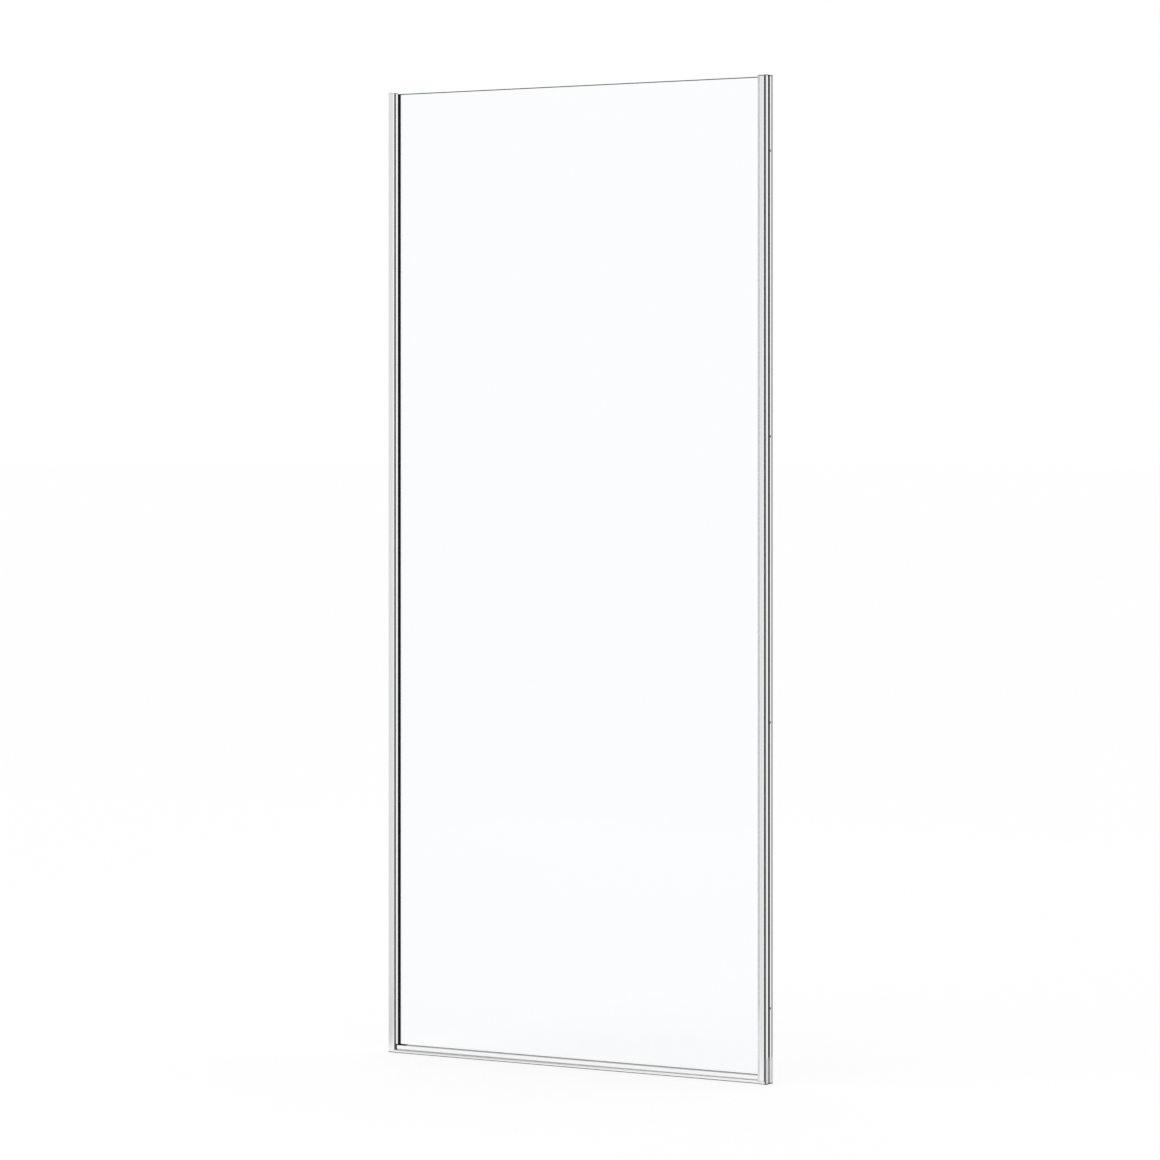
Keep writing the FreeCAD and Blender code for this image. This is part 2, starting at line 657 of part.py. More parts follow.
def bottom_rail_parts():
    far = "rail_thickness - rail_wall"
    middle = "rail_thickness / 2"
    bead_bottom = "fin_neck"
    bead_top = "fin_neck + fin_head_height"
    spot = ("rail_left", "rail_front", "rail_bottom")
    length = "rail_right - rail_left"
    slit = "fin_thickness / 2"
    bead = "fin_head_width / 2"
    body = extrusion("bottom_rail", spot, length, [
        (0, 0),
        ("%s - %s" % (middle, slit), 0),
        ("%s - %s" % (middle, slit), bead_bottom),
        ("%s - %s" % (middle, bead), bead_bottom),
        ("%s - %s" % (middle, bead), bead_top),
        ("%s + %s" % (middle, bead), bead_top),
        ("%s + %s" % (middle, bead), bead_bottom),
        ("%s + %s" % (middle, slit), bead_bottom),
        ("%s + %s" % (middle, slit), 0),
        ("rail_thickness", 0),
        ("rail_thickness", "rail_height"),
        (far, "rail_height"),
        (far, "rail_floor"),
        ("rail_wall", "rail_floor"),
        ("rail_wall", "rail_height"),
        (0, "rail_height"),
    ], run="X")
    round_corners(body, [(0, 0), ("rail_thickness", 0)], "edge_radius", run="X")
    tip = "fin_gap - rail_lift"
    extrusion("bottom_drip_fin", spot, length, [
        ("%s - %s" % (middle, slit), tip),
        ("%s + %s" % (middle, slit), tip),
        ("%s + %s" % (middle, slit), bead_bottom),
        ("%s + %s" % (middle, bead), bead_bottom),
        ("%s + %s" % (middle, bead), bead_top),
        ("%s - %s" % (middle, bead), bead_top),
        ("%s - %s" % (middle, bead), bead_bottom),
        ("%s - %s" % (middle, slit), bead_bottom),
    ], run="X")
    gasket_top = "rail_height - rail_floor + rail_lip"
    corners = []
    for name, near in (("front", "glass_front - gasket_thickness"), ("rear", "glass_back")):
        extrusion(
            "bottom_rail_%s_gasket" % name, ("rail_left + corner_seal_length", near, "glass_bottom"),
            "%s - corner_seal_length" % length, rectangle(0, 0, "gasket_thickness", gasket_top), run="X")
        corner = doc.addObject("Part::Box", "corner_seal")
        bind(corner, {
            "Length": "corner_seal_length", "Width": "gasket_thickness", "Height": gasket_top + " + closing_lift"})
        place(corner, "rail_left", near, "glass_bottom")
        corners.append(corner)
    group("closing_corner_seals", corners)
    extrusion(
        "bottom_rail_left_cap", ("rail_left - soft_cap_length", "rail_front", "rail_bottom"),
        "soft_cap_length", rectangle(0, 0, "rail_thickness", "rail_height"), run="X")
    slot_near = "rail_wall + gasket_thickness"
    slot_far = "rail_thickness - rail_wall - gasket_thickness"
    extrusion(
        "bottom_rail_right_cap", ("rail_right", "rail_front", "rail_bottom"), "rail_cap_thickness", [
            (0, 0), ("rail_thickness", 0), ("rail_thickness", "rail_height"), (slot_far, "rail_height"),
            (slot_far, "rail_floor"), (slot_near, "rail_floor"), (slot_near, "rail_height"),
            (0, "rail_height")], run="X")


def closing_seal():
    tube_front = "glass_middle - closing_tube_depth / 2"
    wall = "closing_tube_wall"
    hollow = rectangle(
        wall, wall, "closing_tube_width - " + wall, "closing_tube_depth - " + wall)
    body = extrusion(
        "closing_seal_tube", ("seal_tip", tube_front, "closing_bottom"), "closing_height",
        rectangle(0, 0, "closing_tube_width", "closing_tube_depth"), [hollow])
    round_corners(body, [(0, 0), (0, "closing_tube_depth")], "edge_radius")
    extrusion(
        "door_magnet",
        ("seal_tip + closing_tube_wall + magnet_clearance",
         tube_front + " + closing_tube_wall + magnet_clearance", "closing_bottom"), "closing_height",
        rectangle(
            0, 0, "closing_tube_width - 2 * closing_tube_wall - 2 * magnet_clearance",
            "closing_tube_depth - 2 * closing_tube_wall - 2 * magnet_clearance"))
    extrusion(
        "closing_seal_front_leg", ("seal_root", "glass_front", "closing_bottom"), "closing_height", [
            (0, "-gasket_thickness"), ("closing_leg_length", "-closing_leg_tip"),
            ("closing_leg_length", 0), (0, 0)])
    extrusion(
        "closing_seal_rear_leg", ("seal_root", "glass_back", "closing_bottom"), "closing_height", [
            (0, 0), ("closing_rear_leg", 0), ("closing_rear_leg", "closing_leg_tip"),
            (0, "gasket_thickness")])


hinge_wall_profile()
wall_seal_strip()
hinge_gap_seal()
lower_bearing_block()
upper_bearing_cap()
pivot_bushes()
bearing_set_screws()
strike_wall_profile()
strike_top_cap()
strike_magnet_parts()
threshold_sill()
door_glass()
hinge_stile()
glazing_gaskets()
glass_edge_blocks()
pivot_plugs_and_pins()
bottom_rail_parts()
closing_seal()
doc.recompute()

for item in doc.Objects:
    if "Invalid" in item.State or "Error" in item.State:
        raise ValueError("%s did not build: %s" % (item.Label, item.State))
for node in nodes:
    if node.Shape.isNull() or not node.Shape.isValid() or not node.Shape.Solids:
        raise ValueError(node.Label + " has no sound solid")

os.makedirs("parts", exist_ok=True)
for node in nodes:
    node.Shape.exportStep("parts/%s.step" % node.Label)
print("%d pieces written" % len(nodes))
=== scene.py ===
import json
import math

import bmesh
import bpy
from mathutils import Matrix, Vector


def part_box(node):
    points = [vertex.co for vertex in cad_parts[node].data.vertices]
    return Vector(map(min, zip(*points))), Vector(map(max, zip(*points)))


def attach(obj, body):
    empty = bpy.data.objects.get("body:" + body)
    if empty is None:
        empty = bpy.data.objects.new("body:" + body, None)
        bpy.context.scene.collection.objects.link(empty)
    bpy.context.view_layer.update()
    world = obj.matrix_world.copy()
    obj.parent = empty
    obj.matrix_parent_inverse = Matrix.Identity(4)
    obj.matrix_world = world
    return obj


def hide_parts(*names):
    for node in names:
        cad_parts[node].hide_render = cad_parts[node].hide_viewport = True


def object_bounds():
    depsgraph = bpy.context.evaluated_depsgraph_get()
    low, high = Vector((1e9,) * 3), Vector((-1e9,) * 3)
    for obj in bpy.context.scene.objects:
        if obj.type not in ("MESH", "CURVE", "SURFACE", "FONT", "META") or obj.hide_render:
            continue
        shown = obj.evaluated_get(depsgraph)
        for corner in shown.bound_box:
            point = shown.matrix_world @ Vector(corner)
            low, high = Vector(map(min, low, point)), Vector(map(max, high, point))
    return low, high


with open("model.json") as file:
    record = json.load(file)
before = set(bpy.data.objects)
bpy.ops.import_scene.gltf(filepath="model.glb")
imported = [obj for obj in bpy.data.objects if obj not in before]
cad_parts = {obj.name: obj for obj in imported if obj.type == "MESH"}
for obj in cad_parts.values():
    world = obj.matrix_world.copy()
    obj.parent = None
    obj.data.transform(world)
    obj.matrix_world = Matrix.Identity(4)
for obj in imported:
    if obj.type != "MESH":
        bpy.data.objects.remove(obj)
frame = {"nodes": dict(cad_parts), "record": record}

# A pivoting glass shower door for a niche, dressed for its photograph. Metres, in the frame of the CAD.

cad_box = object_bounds()
scene = bpy.context.scene
nodes = frame["nodes"]
MM = 0.001
HAIR = 0.01 * MM
# A face looks one way when its normal has at least this share of that way
FACING = 0.9
# Height of the painted contact shadow, a darker band where pieces stand on the floor
CONTACT_SHADOW_HEIGHT = 2.4 * MM
# Width of the flat land behind the wall seal
LAND = 4.9 * MM
BLACK, WHITE = (0, 0, 0), (1, 1, 1)


class Reading:
    """A value read from a node, which can stand in a sum."""

    def __init__(self, sheet, socket):
        self.sheet = sheet
        self.socket = socket

    def join(self, operation, first, second):
        return self.sheet.add("ShaderNodeMath", {"operation": operation}, {0: first, 1: second})

    def __add__(self, other):
        return self.join("ADD", self, other)

    def __radd__(self, other):
        return self.join("ADD", other, self)

    def __sub__(self, other):
        return self.join("SUBTRACT", self, other)

    def __rsub__(self, other):
        return self.join("SUBTRACT", other, self)

    def __mul__(self, other):
        return self.join("MULTIPLY", self, other)

    def __rmul__(self, other):
        return self.join("MULTIPLY", other, self)

    def over(self, edge):
        return self.join("GREATER_THAN", self, edge)

    def under(self, edge):
        return self.join("LESS_THAN", self, edge)

    def least(self, other):
        return self.join("MINIMUM", self, other)

    def most(self, other):
        return self.join("MAXIMUM", self, other)

    def ease(self, first, last):
        """Rises softly from 0 at the first value to 1 at the last."""
        ends = {"Value": self, "From Min": first, "From Max": last}
        return self.sheet.add("ShaderNodeMapRange", {"interpolation_type": "SMOOTHSTEP"}, ends)


class NodeSheet:
    """The nodes of one finish, or of the sky."""

    def __init__(self, tree):
        self.tree = tree

    def add(self, kind, settings=None, inputs=None, output=0):
        node = self.tree.nodes.new(kind)
        for name, setting in (settings or {}).items():
            setattr(node, name, setting)
        for name, given in (inputs or {}).items():
            self.feed(node.inputs[name], given)
        return Reading(self, node.outputs[output])

    def feed(self, socket, given):
        if isinstance(given, Reading):
            self.tree.links.new(given.socket, socket)
        else:
            socket.default_value = given

    def seen(self):
        """1 where it is seen straight, mirrored or through glass, and 0 where it only gives light."""
        straight, mirrored, through = [
            self.add("ShaderNodeLightPath", output=kind)
            for kind in ("Is Camera Ray", "Is Glossy Ray", "Is Transmission Ray")]
        return straight.most(mirrored).most(through)


class Finish(NodeSheet):
    """One surface finish, built from nodes round a single shader."""

    def __init__(self, name):
        self.material = bpy.data.materials.new(name)
        self.material.use_nodes = True
        super().__init__(self.material.node_tree)
        self.shader = self.tree.nodes["Principled BSDF"]
        self.places = {}

    def surface(self, values):
        for name, given in values.items():
            self.feed(self.shader.inputs[name], given)

    def show(self, shader):
        """Shows this shader in place of the finish's own."""
        self.feed(self.tree.nodes["Material Output"].inputs["Surface"], shader)

    def spot(self, scale=(1, 1, 1)):
        """Place on the object, in metres, stretched by scale."""
        if scale not in self.places:
            here = self.add("ShaderNodeTexCoord", output="Object")
            self.places[scale] = self.add("ShaderNodeMapping", inputs={"Vector": here, "Scale": scale})
        return self.places[scale]

    def along(self, axis):
        return self.add("ShaderNodeSeparateXYZ", inputs={"Vector": self.spot()}, output=axis)

    def noise(self, scale, detail=3.0, rough=0.5):
        return self.add(
            "ShaderNodeTexNoise", inputs={
                "Vector": self.spot(scale), "Scale": 1.0, "Detail": detail, "Roughness": rough})

    def blend(self, amount, first, second):
        return self.add(
            "ShaderNodeMix", {"data_type": "RGBA"}, {0: amount, 6: (*first, 1), 7: (*second, 1)}, 2)

    def relief(self, height, depth, strength):
        shape = {"Height": height, "Distance": depth, "Strength": strength}
        self.surface({"Normal": self.add("ShaderNodeBump", inputs=shape)})


def bright_aluminium(name, along_x=False, pale=0.86, matt=0.13, painted_shade_and_dulling=None):
    """Polished and anodised extrusion, with fine lines and broad bands left along it by the die.

    Its last argument gives where, and by how much, the colour is painted darker as painted shade; it is made
    rougher there too.
    """
    finish = Finish(name)
    lines = finish.noise((6, 2600, 2600) if along_x else (2600, 2600, 6), 2.0)
    bands = finish.noise((1.5, 420, 420) if along_x else (420, 420, 1.5), 2.0)
    smear = finish.noise((9, 9, 9), 4.0, 0.6)
    tone = pale + lines * 0.04 + bands * 0.065
    rough = matt + bands * 0.10 + smear * 0.06
    if painted_shade_and_dulling:
        shade_and_dulling = painted_shade_and_dulling(finish)
        # Painted shade: the colour is darkened by the given amount, and the roughness raised with it
        tone = tone - shade_and_dulling
        rough = rough + shade_and_dulling * 0.6
    finish.surface({
        "Base Color": finish.blend(tone, BLACK, (0.995, 0.998, 1.0)),
        "Metallic": 1.0,
        "Roughness": rough})
    finish.relief(lines, 0.02 * MM, 0.3)
    return finish.material


def painted_rear_and_top_shade(finish):
    """Painted shade on the hinge wall profile: a strip at its rear edge and its top end are painted darker,
    standing in for the shade there.
    """
    relief, top_shade_height = 1.1 * MM, 2.0 * MM
    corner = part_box("hinge_wall_profile")[1]
    land_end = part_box("wall_seal_strip")[1].y + LAND
    # Painted shade: the rear edge strip is darkened by half, and the top end by three quarters
    rear = finish.along("X").over(corner.x - relief) * finish.along("Y").over(land_end)
    top_shade = finish.along("Z").over(corner.z - top_shade_height)
    return (rear * 0.50).most(top_shade * 0.75)


def painted_floor_shadow(finish):
    """Painted contact shadow: the strike profile's lowest millimetres, where it stands on the floor, are
    painted darker.
    """
    return finish.along("Z").under(CONTACT_SHADOW_HEIGHT) * 0.50


def clear_glass():
    """Toughened float glass: clear faces with a slight roller wave, and grey-green ground edges."""
    finish = Finish("clear_glass")
    low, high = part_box("door_glass")
    across, up = finish.along("X"), finish.along("Z")
    inside = (across - low.x).least(high.x - across).least((up - low.z).least(high.z - up))
    rim_width = 1.8 * MM
    rim = inside.under(rim_width)
    wave = finish.noise((3, 3, 14), 1.0)
    film = finish.noise((5, 5, 5), 5.0, 0.65)
    finish.surface({
        "Base Color": finish.blend(rim, (0.978, 0.984, 1.0), (0.04, 0.055, 0.05)),
        "Roughness": 0.010 + film * 0.012 + rim * 0.25,
        "IOR": 1.5,
        "Transmission Weight": 1.0})
    finish.relief(wave, 0.4 * MM, 0.04)
    return finish.material


def soft_rubber(name, dark, pale, gloss):
    """Extruded rubber with a fine matt grain and a little settled dust."""
    finish = Finish(name)
    grain = finish.noise((2600, 2600, 2600), 3.0)
    dust = finish.noise((30, 30, 12), 5.0, 0.7)
    finish.surface({
        "Base Color": finish.blend(dust * 0.6 + grain * 0.4, dark, pale),
        "Roughness": 0.5 + grain * 0.2,
        "Specular IOR Level": gloss})
    finish.relief(grain, 0.04 * MM, 0.5)
    return finish.material


def grey_moulding(name, tone_of):
    """Satin moulded plastic with a fine eroded grain. tone_of gives how pale it is, from 0 to 1."""
    finish = Finish(name)
    grain = finish.noise((1800, 1800, 1800), 2.0)
    cloud = finish.noise((60, 60, 60), 3.0)
    finish.surface({
        "Base Color": finish.blend(tone_of(finish) * (0.94 + cloud * 0.12), BLACK, (0.99, 0.995, 1.0)),
        "Roughness": 0.38 + grain * 0.15})
    finish.relief(grain, 0.05 * MM, 0.4)
    return finish.material


def foot_tone_and_painted_shade(finish):
    """The foot's arm is pale. Its wall side is painted darker as painted shade, most so in the groove and on
    the rear strip, and its base carries a painted contact shadow.
    """
    margin, groove_edge = 0.1 * MM, 0.3 * MM
    inner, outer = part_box("hinge_wall_profile")
    front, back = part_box("wall_seal_strip")
    across, deep = finish.along("X"), finish.along("Y")
    shaded_wall_side = across.over(inner.x + margin)
    beside_seal = deep.over(front.y - margin) * deep.under(back.y + margin)
    shaded_groove = shaded_wall_side * across.under(outer.x - groove_edge) * beside_seal
    rear = deep.over(back.y + LAND)
    contact_shadow = finish.along("Z").under(CONTACT_SHADOW_HEIGHT)
    # Painted shade on the wall side, in the groove and on the rear strip; the next line paints a contact
    # shadow at the base
    tone = 0.86 - shaded_wall_side * 0.16 - shaded_groove * 0.30 - rear * 0.16
    return tone * (1 - contact_shadow * (0.45 + shaded_wall_side * 0.35))


def cap_tone_and_painted_top_shade(finish):
    """The top caps are grey, with a painted shade that darkens their upper faces and edges."""
    edge = 2.1 * MM
    # Painted shade: the top band of the caps is darkened
    return 0.62 - finish.along("Z").over(cad_box[1].z - edge) * 0.22


def white_seal():
    """Drawn white plastic. Its thin tip is painted darker, as painted shade that widens the shadow of the
    gap beside it, and its root is black like the legs.
    """
    finish = Finish("white_seal")
    low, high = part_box("closing_seal_tube")
    drawn = finish.noise((1400, 1400, 8), 2.0)
    cloud = finish.noise((12, 12, 6), 4.0)
    across = finish.along("X")
    tip_width, root_width = 0.9 * MM, 0.6 * MM
    shaded_tip, root = across.under(low.x + tip_width), across.over(high.x - root_width)
    # Painted shade: the tip is darkened; the root is black
    tone = (0.89 + cloud * 0.06) * (1 - shaded_tip * 0.72) * (1 - root * 0.99)
    finish.surface({
        "Base Color": finish.blend(tone, BLACK, WHITE),
        "Roughness": 0.32 + drawn * 0.12})
    finish.relief(drawn, 0.03 * MM, 0.4)
    return finish.material


def bearing_plastic():
    """Smooth, slightly clouded plastic of the bushes, plugs and edge blocks."""
    finish = Finish("bearing_plastic")
    cloud = finish.noise((150, 150, 150), 3.0)
    grain = finish.noise((2200, 2200, 2200), 2.0)
    finish.surface({
        "Base Color": finish.blend(cloud, (0.78, 0.78, 0.75), (0.88, 0.88, 0.86)),
        "Roughness": 0.22 + grain * 0.12})
    finish.relief(grain, 0.03 * MM, 0.3)
    return finish.material


def magnet_strip():
    """Brown-black magnet powder bound in rubber."""
    finish = Finish("magnet_strip")
    grain = finish.noise((3200, 3200, 3200), 4.0, 0.7)
    finish.surface({
        "Base Color": finish.blend(grain, (0.035, 0.030, 0.028), (0.11, 0.095, 0.09)),
        "Roughness": 0.6 + grain * 0.2})
    finish.relief(grain, 0.05 * MM, 0.4)
    return finish.material


def ground_steel():
    """Steel of the pins and screws, ground round."""
    finish = Finish("ground_steel")
    rings = finish.noise((60, 60, 5200), 2.0)
    cloud = finish.noise((90, 90, 90), 3.0)
    finish.surface({
        "Base Color": finish.blend(cloud, (0.56, 0.56, 0.57), (0.72, 0.72, 0.73)),
        "Metallic": 1.0,
        "Roughness": 0.24 + rings * 0.14})
    finish.relief(rings, 0.02 * MM, 0.4)
    return finish.material


def bed_tape():
    """Closed-cell foam tape, with its cut cells showing."""
    finish = Finish("bed_tape")
    place = finish.spot((1500, 1500, 1500))
    cells = finish.add("ShaderNodeTexVoronoi", {"feature": "F1"}, {"Vector": place, "Scale": 1.0})
    finish.surface({
        "Base Color": finish.blend(cells, (0.10, 0.10, 0.102), (0.20, 0.20, 0.203)),
        "Roughness": 0.8})
    finish.relief(cells, 0.1 * MM, 0.5)
    return finish.material


def put_on(shape, finish):
    """Gives a shape one finish and no other."""
    shape.data.materials.clear()
    shape.data.materials.append(finish)


def dress_cad_nodes():
    """Gives each CAD node its finish, and returns those that are shared by a material slot."""
    lying = bright_aluminium("lying_aluminium", along_x=True, pale=0.89, matt=0.04)
    caps = grey_moulding("cap_moulding", cap_tone_and_painted_top_shade)
    rail_gasket = soft_rubber("rail_gasket_rubber", (0.38, 0.38, 0.384), (0.46, 0.46, 0.465), 0.3)
    holder = soft_rubber("magnet_holder_rubber", (0.14, 0.14, 0.142), (0.22, 0.22, 0.223), 0.3)
    own = {
        "hinge_wall_profile": bright_aluminium("wall_profile_aluminium", painted_shade_and_dulling=painted_rear_and_top_shade),
        "strike_wall_profile": bright_aluminium("strike_profile_aluminium", painted_shade_and_dulling=painted_floor_shadow),
        "hinge_stile": bright_aluminium("stile_aluminium"),
        "strike_magnet_holder": holder,
        "bottom_rail": lying, "threshold_sill": lying,
        "bottom_rail_front_gasket": rail_gasket, "bottom_rail_rear_gasket": rail_gasket,
        "lower_bearing_block": grey_moulding("foot_moulding", foot_tone_and_painted_shade),
        "upper_bearing_cap": caps, "strike_top_cap": caps, "bottom_rail_right_cap": caps}
    shared = {
        "clear_glass": clear_glass(),
        "black_rubber": soft_rubber("black_rubber", (0.002, 0.002, 0.002), (0.007, 0.007, 0.0075), 0.08),
        "grey_rubber": soft_rubber("grey_rubber", (0.105, 0.105, 0.107), (0.165, 0.165, 0.168), 0.3),
        "bearing_plastic": bearing_plastic(), "white_seal": white_seal(), "magnet_strip": magnet_strip(),
        "steel": ground_steel(), "bed_tape": bed_tape()}
    for part in frame["record"]["subparts"]:
        name = part["node"]
        put_on(nodes[name], own[name] if name in own else shared[part["material_slot"]])
    return shared


def begin(piece, name):
    """Takes the primitive just added at its size and place, and opens it for shaping."""
    piece.name = name
    bpy.ops.object.transform_apply(location=True, rotation=True, scale=True)
    bpy.ops.object.mode_set(mode="EDIT")
    return piece


def block(name, low, high):
    """A block between two corners, open for shaping."""
    bpy.ops.object.select_all(action="DESELECT")
    low, high = Vector(low), Vector(high)
    bpy.ops.mesh.primitive_cube_add(size=1, location=(low + high) / 2, scale=high - low)
    return begin(bpy.context.object, name)


def pick_faces(piece, wanted):
    """Selects only the faces whose middle and normal are wanted."""
    bpy.ops.mesh.select_mode(type="FACE")
    bpy.ops.mesh.select_all(action="DESELECT")
    shape = bmesh.from_edit_mesh(piece.data)
    for face in shape.faces:
        face.select_set(wanted(face.calc_center_median(), face.normal))
    bmesh.update_edit_mesh(piece.data)


def pick_edges(piece, wanted):
    """Selects only the edges whose two ends are wanted."""
    bpy.ops.mesh.select_mode(type="EDGE")
    bpy.ops.mesh.select_all(action="DESELECT")
    shape = bmesh.from_edit_mesh(piece.data)
    for edge in shape.edges:
        edge.select_set(wanted(edge.verts[0].co, edge.verts[1].co))
    bmesh.update_edit_mesh(piece.data)


def cut(places, normal):
    """Cuts the open piece into bands, by planes through these places."""
    for place in places:
        bpy.ops.mesh.select_all(action="SELECT")
        bpy.ops.mesh.bisect(plane_co=place, plane_no=normal)


def round_over(piece, radius, steps, wanted):
    """Rounds the wanted edges."""
    pick_edges(piece, wanted)
    bpy.ops.mesh.bevel(offset=radius, segments=steps)


def draw_out(way):
    """Extrudes what is picked."""
    bpy.ops.mesh.extrude_region_move(TRANSFORM_OT_translate={"value": way})


def close():
    """Leaves edit mode with the faces turned outwards and only the sharp edges creased."""
    bpy.ops.mesh.select_all(action="SELECT")
    bpy.ops.mesh.normals_make_consistent(inside=False)
    bpy.ops.object.mode_set(mode="OBJECT")
    bpy.ops.object.shade_smooth_by_angle(angle=math.radians(35))


def open_copy():
    """Copies the piece that is selected, and opens the copy with all of it picked."""
    bpy.ops.object.duplicate()
    bpy.ops.object.mode_set(mode="EDIT")
    bpy.ops.mesh.select_all(action="SELECT")


def join_to(piece):
    """Makes the copy that is selected a part of the piece."""
    piece.select_set(True)
    bpy.context.view_layer.objects.active = piece
    bpy.ops.object.join()


def fit(piece, body, node, finish):
    """Sets the finished piece on its body, in place of its CAD node."""
    put_on(piece, finish)
    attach(piece, body)
    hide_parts(node)


def at_depth(place, *points):
    """Whether all these points lie at one place, front to back."""
    return all(abs(point.y - place) < HAIR for point in points)


def runs_up(first, second):
    """Whether the edge between two points runs up the door."""
    shortest = 100 * MM
    return abs(first.z - second.z) > shortest


def wall_seal(finish):
    """The wall seal's face has rounded ribs, so that it bears on an uneven wall."""
    low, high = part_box("wall_seal_strip")
    rib, valley, rise, radius = 1.8 * MM, 0.6 * MM, 0.5 * MM, 0.3 * MM
    piece = block("wall_seal_ribbed", low, (high.x - rise, high.y, high.z))
    ribs = round((high.y - low.y + valley) / (rib + valley))
    pitch = (high.y - low.y + valley) / ribs
    valleys = [low.y + n * pitch for n in range(1, ribs)]
    cut([(0, place - valley, 0) for place in valleys] + [(0, place, 0) for place in valleys], (0, 1, 0))
    pick_faces(piece, lambda middle, normal: normal.x > FACING and not any(
        place - valley < middle.y < place for place in valleys))
    draw_out((rise, 0, 0))
    round_over(piece, radius, 3, lambda a, b: min(a.x, b.x) > high.x - HAIR and runs_up(a, b))
    close()
    fit(piece, "frame", "wall_seal_strip", finish)


def gap_seal(finish):
    """The seal in the front rebate has a round nose towards the room."""
    low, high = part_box("hinge_gap_seal")
    radius = 0.8 * MM
    piece = block("gap_seal_rounded", low, high)
    round_over(piece, radius, 4, lambda a, b: at_depth(low.y, a, b) and runs_up(a, b))
    close()
    fit(piece, "frame", "hinge_gap_seal", finish)


def glazing_gasket(side, finish):
    """A flat strip in the stile's pocket, with a rounded lip that shows along the glass."""
    node = side + "_glazing_gasket"
    low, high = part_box(node)
    lip, strip, radius = 1.5 * MM, 2.0 * MM, 0.6 * MM
    if side == "front":
        outward, outer, front, back = -1, low.y, high.y - strip, high.y
    else:
        outward, outer, front, back = 1, high.y, low.y, low.y + strip
    piece = block(node + "_lipped", (low.x, front, low.z), (high.x, back, high.z))
    cut([(low.x + lip, 0, 0)], (1, 0, 0))
    pick_faces(piece, lambda middle, normal: normal.y * outward > FACING and middle.x < low.x + lip)
    draw_out((0, outward * (high.y - low.y - strip), 0))
    round_over(piece, radius, 4, lambda a, b: at_depth(outer, a, b) and runs_up(a, b))
    close()
    fit(piece, "door", node, finish)


def closing_leg(side, finish):
    """The leg that grips the glass thins to a lip in a hollow curve."""
    node = "closing_seal_" + side + "_leg"
    low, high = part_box(node)
    outer, inward = (low.y, 1) if side == "front" else (high.y, -1)
    piece = block(node + "_curved", low, high)
    # Share of the leg's width, and how far its face lies back there
    hollow = [(0.25, 0.5 * MM), (0.5, 0.85 * MM), (0.75, 1.05 * MM), (1.0, 1.2 * MM)]
    width = high.x - low.x
    cut([(low.x + share * width, 0, 0) for share, _ in hollow[:-1]], (1, 0, 0))
    for share, back in hollow:
        place = low.x + share * width
        pick_edges(piece, lambda a, b: at_depth(outer, a, b)
                   and max(abs(a.x - place), abs(b.x - place)) < HAIR)
        bpy.ops.transform.translate(value=(0, inward * back, 0))
    close()
    fit(piece, "door", node, finish)


def corner_seals(finish):
    """The two short seals beside the bottom corner of the glass, modelled once and copied behind it."""
    low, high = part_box("closing_corner_seals")
    thickness, radius = 2.0 * MM, 0.7 * MM
    piece = block("closing_corner_seals_rounded", low, (high.x, low.y + thickness, high.z))
    round_over(piece, radius, 4, lambda a, b: at_depth(low.y, a, b))
    close()
    open_copy()
    bpy.ops.transform.mirror(
        constraint_axis=(False, True, False), center_override=(0, (low.y + high.y) / 2, 0))
    close()
    join_to(piece)
    fit(piece, "door", "closing_corner_seals", finish)


def soft_end_cap(finish):
    """The soft cap that closes the end of the rail beside the strike."""
    low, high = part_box("bottom_rail_left_cap")
    radius = 0.8 * MM
    piece = block("bottom_rail_soft_cap", low, high)
    round_over(piece, radius, 4, lambda a, b: min(a.x, b.x) < low.x + HAIR)
    close()
    fit(piece, "door", "bottom_rail_left_cap", finish)


def drip_fin(finish):
    """A bead held in the rail, over a thin lip that leans inwards and sheds water into the tray."""
    low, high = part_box("bottom_drip_fin")
    half_lip, bead, lean = 0.5 * MM, 1.2 * MM, 0.35 * MM
    middle = (low.y + high.y) / 2
    piece = block("drip_fin_leaning", (low.x, low.y, high.z - bead), high)
    cut([(0, middle - half_lip, 0), (0, middle + half_lip, 0)], (0, 1, 0))
    drop = (high.z - bead - low.z) / 2
    for _ in range(2):
        lowest = min(corner.co.z for corner in bmesh.from_edit_mesh(piece.data).verts)
        pick_faces(piece, lambda spot, normal: normal.z < -FACING and spot.z < lowest + HAIR
                   and abs(spot.y - middle) < 2 * half_lip)
        draw_out((0, lean, -drop))
    close()
    fit(piece, "door", "bottom_drip_fin", finish)


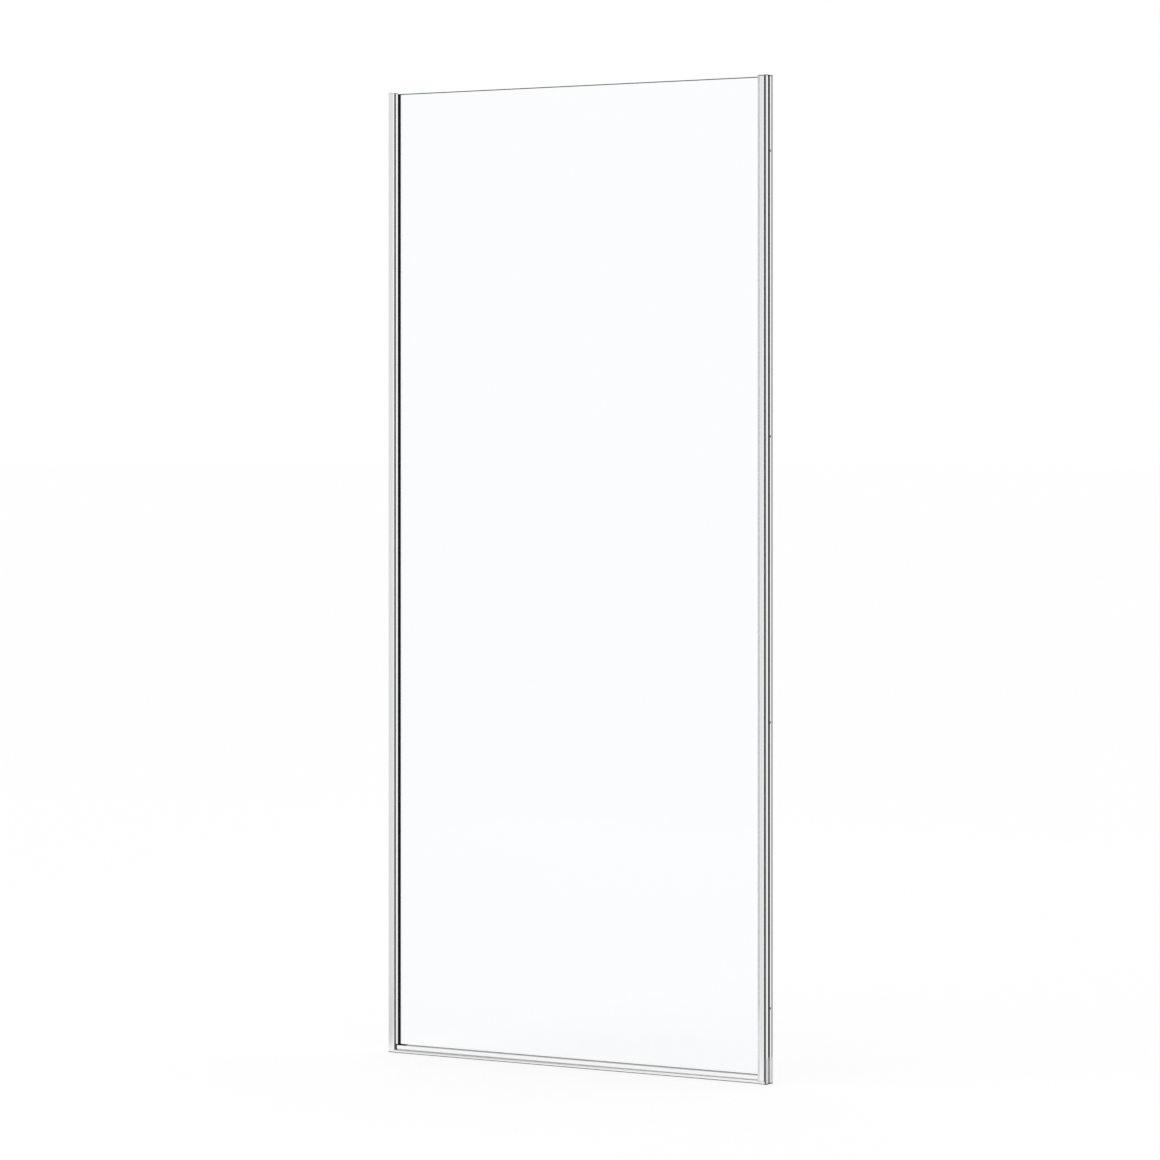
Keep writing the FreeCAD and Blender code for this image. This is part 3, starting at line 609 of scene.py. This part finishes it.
def set_screws(finish):
    """Two alike, each with a hexagon socket in the end that shows."""
    low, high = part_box("bearing_set_screws")
    radius, length = (high.y - low.y) / 2, high.x - low.x
    edge, socket_radius = 0.2 * MM, 0.85 * MM
    middle = Vector(((low.x + high.x) / 2, (low.y + high.y) / 2, low.z + radius))
    lying = (0, math.radians(90), 0)
    bpy.ops.object.select_all(action="DESELECT")
    bpy.ops.mesh.primitive_cylinder_add(
        vertices=32, radius=radius, depth=length, location=middle, rotation=lying)
    screw = begin(bpy.context.object, "bearing_set_screws_socketed")
    round_over(screw, edge, 2, lambda a, b: abs(a.x - b.x) < HAIR)
    close()
    bpy.ops.object.select_all(action="DESELECT")
    bpy.ops.mesh.primitive_cylinder_add(
        vertices=6, radius=socket_radius, depth=length, location=(low.x, middle.y, middle.z), rotation=lying)
    key = bpy.context.object
    socket = screw.modifiers.new("socket", "BOOLEAN")
    socket.operation = "DIFFERENCE"
    socket.object = key
    bpy.context.view_layer.objects.active = screw
    bpy.ops.object.modifier_apply(modifier="socket")
    bpy.data.objects.remove(key)
    bpy.ops.object.select_all(action="DESELECT")
    screw.select_set(True)
    open_copy()
    bpy.ops.transform.translate(value=(0, 0, high.z - low.z - 2 * radius))
    bpy.ops.object.mode_set(mode="OBJECT")
    join_to(screw)
    fit(screw, "frame", "bearing_set_screws", finish)


def studio_floor():
    """A wide white floor that keeps a share of the door's soft shadow."""
    width, drop, glow_share = 400, 0.6 * MM, 0.78
    bpy.ops.object.select_all(action="DESELECT")
    bpy.ops.mesh.primitive_plane_add(size=width, location=(0, 0, -drop))
    floor = bpy.context.object
    floor.name = "studio_floor"
    paint = Finish("pale_floor")
    cloud = paint.noise((0.8, 0.8, 0.8), 3.0)
    paint.surface({"Base Color": paint.blend(cloud, (0.985, 0.985, 0.985), WHITE), "Roughness": 0.9})
    lit = Reading(paint, paint.shader.outputs[0])
    glow = paint.add("ShaderNodeEmission", inputs={"Color": (*WHITE, 1), "Strength": 1.0})
    paint.show(paint.add("ShaderNodeMixShader", inputs={0: paint.seen() * glow_share, 1: lit, 2: glow}))
    put_on(floor, paint.material)


def grey_card():
    """A card swept up from the floor left of the door. It isn't seen itself, and only tones what mirrors it.

    Its tones fan out from the stile, so that each face of the metal mirrors one tone over its whole height,
    and they fade into the white round them.
    """
    hinge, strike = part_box("hinge_stile")[1].x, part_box("strike_wall_profile")[0].x
    left, right, near, front, behind, top = -3.2, 0.6, -9.0, -0.12, 5.0, 6.5
    front_fade, strike_fade, right_fade, near_fade, behind_fade, top_fade = 0.35, 0.12, 0.4, 1.5, 3.0, 1.5
    lift, blur, first_shade = 2 * MM, 0.2, 0.16
    # Slope of each line of the fan, and how much darker than white the card is beyond it
    fan = ((1.30, 0.21), (0.62, 0.30), (0.33, 0.33), (0.11, 0.36))
    bpy.ops.object.select_all(action="DESELECT")
    bpy.ops.mesh.primitive_plane_add(size=1, location=((left + right) / 2, (near + front) / 2, lift))
    card = bpy.context.object
    card.scale = (right - left, front - near, 1)
    begin(card, "grey_card")
    cut([(strike, 0, 0)], (1, 0, 0))
    pick_edges(card, lambda a, b: min(a.y, b.y) > front - HAIR and max(a.x, b.x) < strike + HAIR)
    draw_out((0, behind - front, 0))
    pick_edges(card, lambda a, b: max(a.x, b.x) < left + HAIR)
    draw_out((0, 0, top))
    bpy.ops.object.mode_set(mode="OBJECT")
    paint = Finish("grey_card")
    across, deep, up = paint.along("X"), paint.along("Y"), paint.along("Z")
    shade = before = first_shade
    for slope, value in fan:
        beyond = (deep + (hinge - across) * slope).ease(-blur, blur)
        shade = shade + beyond * (value - before)
        before = value
    clear_of_door = (front - deep).ease(0, front_fade).most((strike - across).ease(0, strike_fade))
    along_floor = (deep - near).ease(0, near_fade) * (behind - deep).ease(0, behind_fade)
    inside = along_floor * (right - across).ease(0, right_fade) * (top - up).ease(0, top_fade)
    tone = 1 - shade * clear_of_door * inside
    paint.show(paint.add("ShaderNodeEmission", inputs={"Color": paint.blend(tone, BLACK, WHITE)}))
    put_on(card, paint.material)
    card.visible_camera = False
    card.visible_diffuse = False
    card.visible_transmission = False
    card.visible_shadow = False


def soft_sky():
    """White where it is seen, and a little dimmer as a light."""
    light_level = 0.98
    world = bpy.data.worlds.new("studio")
    world.use_nodes = True
    scene.world = world
    sky = NodeSheet(world.node_tree)
    background = sky.tree.nodes["Background"]
    sky.feed(background.inputs["Color"], (*WHITE, 1))
    sky.feed(background.inputs["Strength"], light_level + sky.seen() * (1 - light_level))


def lamp(name, place, aim, size, watts):
    """A square softbox that isn't itself seen in the metal or the glass."""
    light = bpy.data.lights.new(name, "AREA")
    light.shape = "SQUARE"
    light.size = size
    light.energy = watts
    holder = bpy.data.objects.new(name, light)
    scene.collection.objects.link(holder)
    holder.location = place
    holder.rotation_euler = (Vector(aim) - Vector(place)).to_track_quat("-Z", "Y").to_euler()
    holder.visible_glossy = False
    holder.visible_transmission = False


def photo_camera():
    """Stands where the photograph was taken, level, with the frame shifted as there."""
    view = bpy.data.cameras.new("photo_view")
    view.sensor_width = 36
    view.lens = 135.841
    view.shift_y = -0.11927
    holder = bpy.data.objects.new("photo_view", view)
    scene.collection.objects.link(holder)
    holder.location = (4.5824, -7.6336, 1.2731)
    holder.rotation_euler = (math.radians(90), 0, math.radians(30.91))
    scene.camera = holder


scene.view_settings.view_transform = "Standard"
finishes = dress_cad_nodes()
wall_seal(finishes["black_rubber"])
gap_seal(finishes["grey_rubber"])
for side in ("front", "rear"):
    glazing_gasket(side, finishes["grey_rubber"])
    closing_leg(side, finishes["black_rubber"])
corner_seals(finishes["black_rubber"])
soft_end_cap(finishes["black_rubber"])
fin_rubber = soft_rubber("drip_fin_rubber", (0.62, 0.62, 0.625), (0.74, 0.74, 0.745), 0.3)
drip_fin(fin_rubber)
set_screws(finishes["steel"])
studio_floor()
grey_card()
soft_sky()
lamp("key_softbox", place=(-2.5, -4.0, 3.6), aim=(0, 0, 1), size=3.0, watts=20)
lamp("fill_softbox", place=(4.5, -1.5, 2.6), aim=(0.2, 0, 1), size=2.5, watts=8)
photo_camera()
